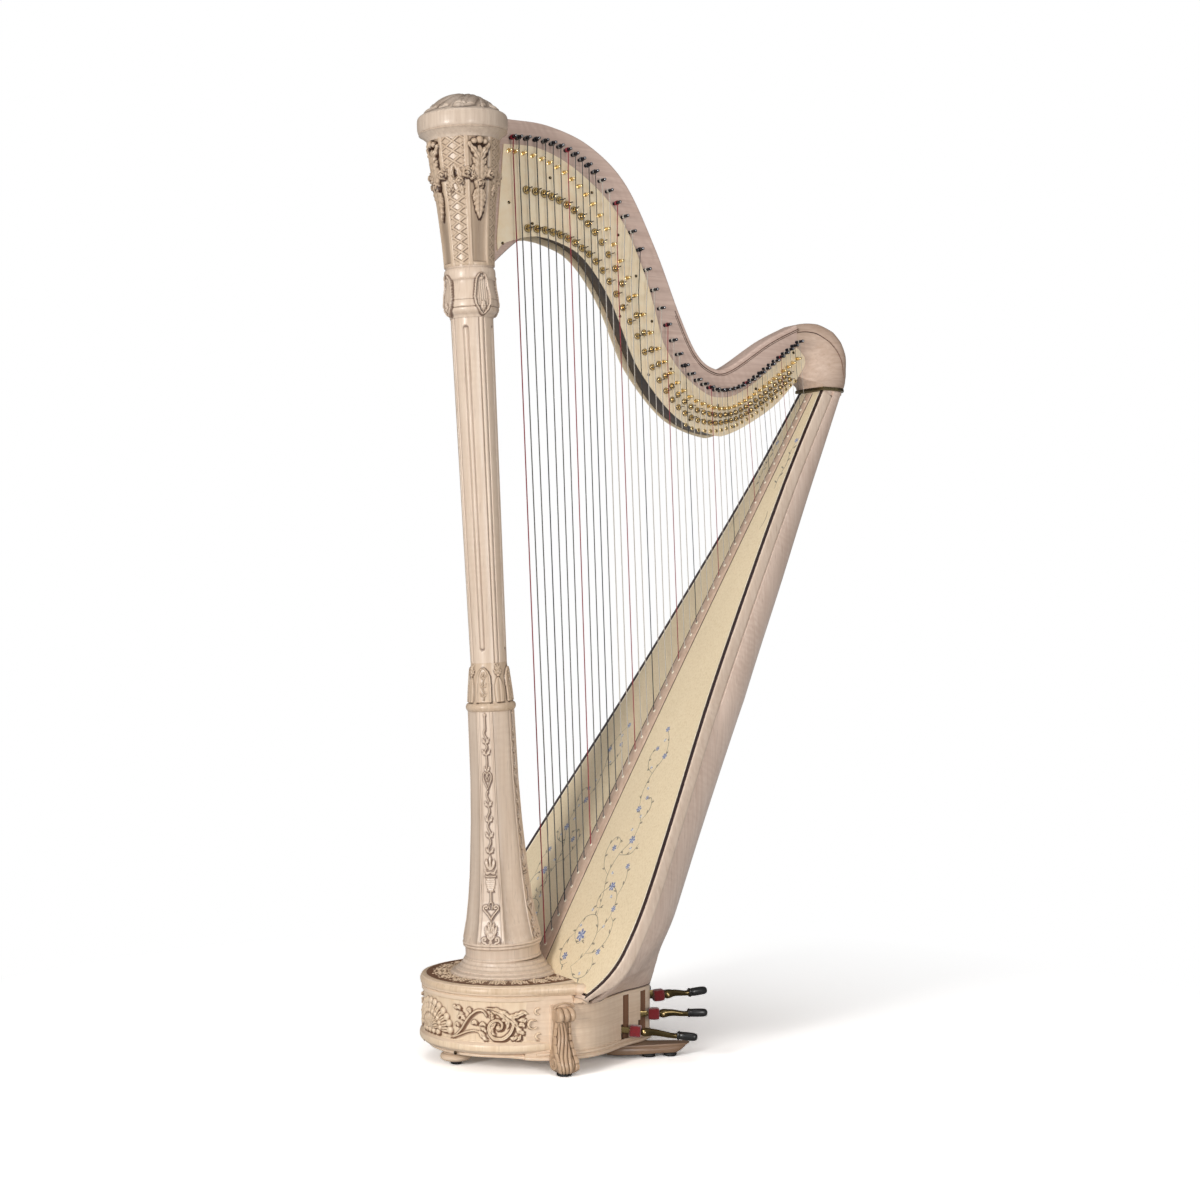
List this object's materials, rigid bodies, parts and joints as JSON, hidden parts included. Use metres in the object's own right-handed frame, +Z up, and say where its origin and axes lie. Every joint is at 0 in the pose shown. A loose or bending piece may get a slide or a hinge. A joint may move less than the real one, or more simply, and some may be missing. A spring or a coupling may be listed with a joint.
{
  "type": "concert harp",
  "caption": "Concert pedal harp with a carved leaning column, an S-curved neck with action plates and turning discs, a tapered soundbox and hinged pedals.",
  "frame": {"origin": "on the floor, at the centre of the front foot's pad", "axes": "+Z up, +X from the column towards the soundbox, the strings hang in the plane Y = 0 and the neck lies on the +Y side of them"},
  "size_m": [1.0028, 0.566, 1.8802],
  "materials": {
    "maple_base": "satin lacquered bleached maple",
    "maple_column": "satin lacquered carved maple",
    "maple_neck": "gloss lacquered flamed maple",
    "maple_body": "gloss lacquered flamed maple",
    "spruce": "satin lacquered spruce with painted vines",
    "binding": "dark stained hardwood",
    "beech": "plain",
    "brass_plate": "polished champagne brass",
    "brass": "polished",
    "blued_steel": "blued",
    "steel": "turned",
    "bronze": "dark oiled bronze",
    "ring_bronze": "patinated",
    "rubber": "matte",
    "pads": "matte",
    "string_red": "dyed gut",
    "string_black": "dyed gut",
    "string_clear": "gut, nylon and wound wire"
  },
  "bodies": {
    "frame": {"base_shell": "maple_base", "base_bottom": "maple_base", "front_foot": "maple_base", "scroll_feet": "maple_base", "rear_feet": "maple_base", "foot_pads": "rubber", "column_plinth": "maple_column", "column_pedestal": "maple_column", "column_collar": "maple_column", "column_shaft": "maple_column", "column_capital": "maple_column", "capital_crown": "maple_column", "neck": "maple_neck", "shoulder_block": "maple_neck", "joint_ring": "ring_bronze", "soundboard": "spruce", "board_rim": "maple_body", "edge_binding": "binding", "string_rib": "maple_body", "string_eyelets": "brass", "soundbox_shell": "maple_body", "soundbox_braces": "beech", "action_plate_left": "brass_plate", "action_plate_right": "brass_plate", "plate_screws": "brass", "tuning_pins": "blued_steel", "bridge_nuts": "brass", "fixed_discs": "brass", "strings_red": "string_red", "strings_black": "string_black", "strings_plain": "string_clear", "pivot_axle": "steel"},
    "pedal_d_body": {"pedal_d": "bronze", "pads_d": "pads"},
    "pedal_c_body": {"pedal_c": "bronze", "pads_c": "pads"},
    "pedal_b_body": {"pedal_b": "bronze", "pads_b": "pads"},
    "pedal_e_body": {"pedal_e": "bronze", "pads_e": "pads"},
    "pedal_f_body": {"pedal_f": "bronze", "pads_f": "pads"},
    "pedal_g_body": {"pedal_g": "bronze", "pads_g": "pads"},
    "pedal_a_body": {"pedal_a": "bronze", "pads_a": "pads"},
    "rod_d_body": {"rod_d": "brass"},
    "rod_c_body": {"rod_c": "brass"},
    "rod_b_body": {"rod_b": "brass"},
    "rod_e_body": {"rod_e": "brass"},
    "rod_f_body": {"rod_f": "brass"},
    "rod_g_body": {"rod_g": "brass"},
    "rod_a_body": {"rod_a": "brass"},
    "disc_e1_body": {"disc_e1": "brass"},
    "disc_f1_body": {"disc_f1": "brass"},
    "disc_g1_body": {"disc_g1": "brass"},
    "disc_a1_body": {"disc_a1": "brass"},
    "disc_b1_body": {"disc_b1": "brass"},
    "disc_c2_body": {"disc_c2": "brass"},
    "disc_d2_body": {"disc_d2": "brass"}
  },
  "joints": [
    {"name": "pedal_d_hinge", "type": "hinge", "parent": "frame", "child": "pedal_d_body", "pos_m": [0.053, 0, 0.08], "axis": [0, 1, 0], "range_deg": [-10.4, 0]},
    {"name": "pedal_c_hinge", "type": "hinge", "parent": "frame", "child": "pedal_c_body", "pos_m": [0.053, 0, 0.08], "axis": [0, 1, 0], "range_deg": [-5.2, 5.2]},
    {"name": "pedal_b_hinge", "type": "hinge", "parent": "frame", "child": "pedal_b_body", "pos_m": [0.053, 0, 0.08], "axis": [0, 1, 0], "range_deg": [0, 10.4]},
    {"name": "pedal_e_hinge", "type": "hinge", "parent": "frame", "child": "pedal_e_body", "pos_m": [0.053, 0, 0.08], "axis": [0, 1, 0], "range_deg": [-5.2, 5.2]},
    {"name": "pedal_f_hinge", "type": "hinge", "parent": "frame", "child": "pedal_f_body", "pos_m": [0.053, 0, 0.08], "axis": [0, 1, 0], "range_deg": [-5.2, 5.2]},
    {"name": "pedal_g_hinge", "type": "hinge", "parent": "frame", "child": "pedal_g_body", "pos_m": [0.053, 0, 0.08], "axis": [0, 1, 0], "range_deg": [-5.2, 5.2]},
    {"name": "pedal_a_hinge", "type": "hinge", "parent": "frame", "child": "pedal_a_body", "pos_m": [0.053, 0, 0.08], "axis": [0, 1, 0], "range_deg": [-5.2, 5.2]},
    {"name": "rod_d_slide", "type": "slide", "parent": "frame", "child": "rod_d_body", "axis": [-0.0546, 0, 0.9985], "range_m": [0, 0.01109]},
    {"name": "rod_c_slide", "type": "slide", "parent": "frame", "child": "rod_c_body", "axis": [-0.0546, 0, 0.9985], "range_m": [-0.00565, 0.00565]},
    {"name": "rod_b_slide", "type": "slide", "parent": "frame", "child": "rod_b_body", "axis": [-0.0546, 0, 0.9985], "range_m": [-0.01109, 0]},
    {"name": "rod_e_slide", "type": "slide", "parent": "frame", "child": "rod_e_body", "axis": [-0.0546, 0, 0.9985], "range_m": [-0.00565, 0.00565]},
    {"name": "rod_f_slide", "type": "slide", "parent": "frame", "child": "rod_f_body", "axis": [-0.0546, 0, 0.9985], "range_m": [-0.00565, 0.00565]},
    {"name": "rod_g_slide", "type": "slide", "parent": "frame", "child": "rod_g_body", "axis": [-0.0546, 0, 0.9985], "range_m": [-0.00565, 0.00565]},
    {"name": "rod_a_slide", "type": "slide", "parent": "frame", "child": "rod_a_body", "axis": [-0.0546, 0, 0.9985], "range_m": [-0.00565, 0.00565]},
    {"name": "disc_e1_turn", "type": "hinge", "parent": "frame", "child": "disc_e1_body", "pos_m": [0.1593, 0.008, 1.71002], "axis": [0, -1, 0], "range_deg": [-21.2, 21.2]},
    {"name": "disc_f1_turn", "type": "hinge", "parent": "frame", "child": "disc_f1_body", "pos_m": [0.18, 0.008, 1.70904], "axis": [0, -1, 0], "range_deg": [-21.2, 21.2]},
    {"name": "disc_g1_turn", "type": "hinge", "parent": "frame", "child": "disc_g1_body", "pos_m": [0.19932, 0.008, 1.7064], "axis": [0, -1, 0], "range_deg": [-21.2, 21.2]},
    {"name": "disc_a1_turn", "type": "hinge", "parent": "frame", "child": "disc_a1_body", "pos_m": [0.21669, 0.008, 1.70221], "axis": [0, -1, 0], "range_deg": [-21.2, 21.2]},
    {"name": "disc_b1_turn", "type": "hinge", "parent": "frame", "child": "disc_b1_body", "pos_m": [0.23383, 0.008, 1.69674], "axis": [0, -1, 0], "range_deg": [0, 42.2]},
    {"name": "disc_c2_turn", "type": "hinge", "parent": "frame", "child": "disc_c2_body", "pos_m": [0.25073, 0.008, 1.68954], "axis": [0, -1, 0], "range_deg": [-21.2, 21.2]},
    {"name": "disc_d2_turn", "type": "hinge", "parent": "frame", "child": "disc_d2_body", "pos_m": [0.26739, 0.008, 1.68016], "axis": [0, -1, 0], "range_deg": [-42.2, 0]}
  ],
  "couplings": [
    {"joint": "rod_d_slide", "follows": "pedal_d_hinge", "m_per_rad": -0.06},
    {"joint": "rod_c_slide", "follows": "pedal_c_hinge", "m_per_rad": -0.06},
    {"joint": "rod_b_slide", "follows": "pedal_b_hinge", "m_per_rad": -0.06},
    {"joint": "rod_e_slide", "follows": "pedal_e_hinge", "m_per_rad": -0.06},
    {"joint": "rod_f_slide", "follows": "pedal_f_hinge", "m_per_rad": -0.06},
    {"joint": "rod_g_slide", "follows": "pedal_g_hinge", "m_per_rad": -0.06},
    {"joint": "rod_a_slide", "follows": "pedal_a_hinge", "m_per_rad": -0.06},
    {"joint": "disc_e1_turn", "follows": "pedal_e_hinge", "ratio": 4.0385},
    {"joint": "disc_f1_turn", "follows": "pedal_f_hinge", "ratio": 4.0385},
    {"joint": "disc_g1_turn", "follows": "pedal_g_hinge", "ratio": 4.0385},
    {"joint": "disc_a1_turn", "follows": "pedal_a_hinge", "ratio": 4.0385},
    {"joint": "disc_b1_turn", "follows": "pedal_b_hinge", "ratio": 4.0385},
    {"joint": "disc_c2_turn", "follows": "pedal_c_hinge", "ratio": 4.0385},
    {"joint": "disc_d2_turn", "follows": "pedal_d_hinge", "ratio": 4.0385}
  ]
}
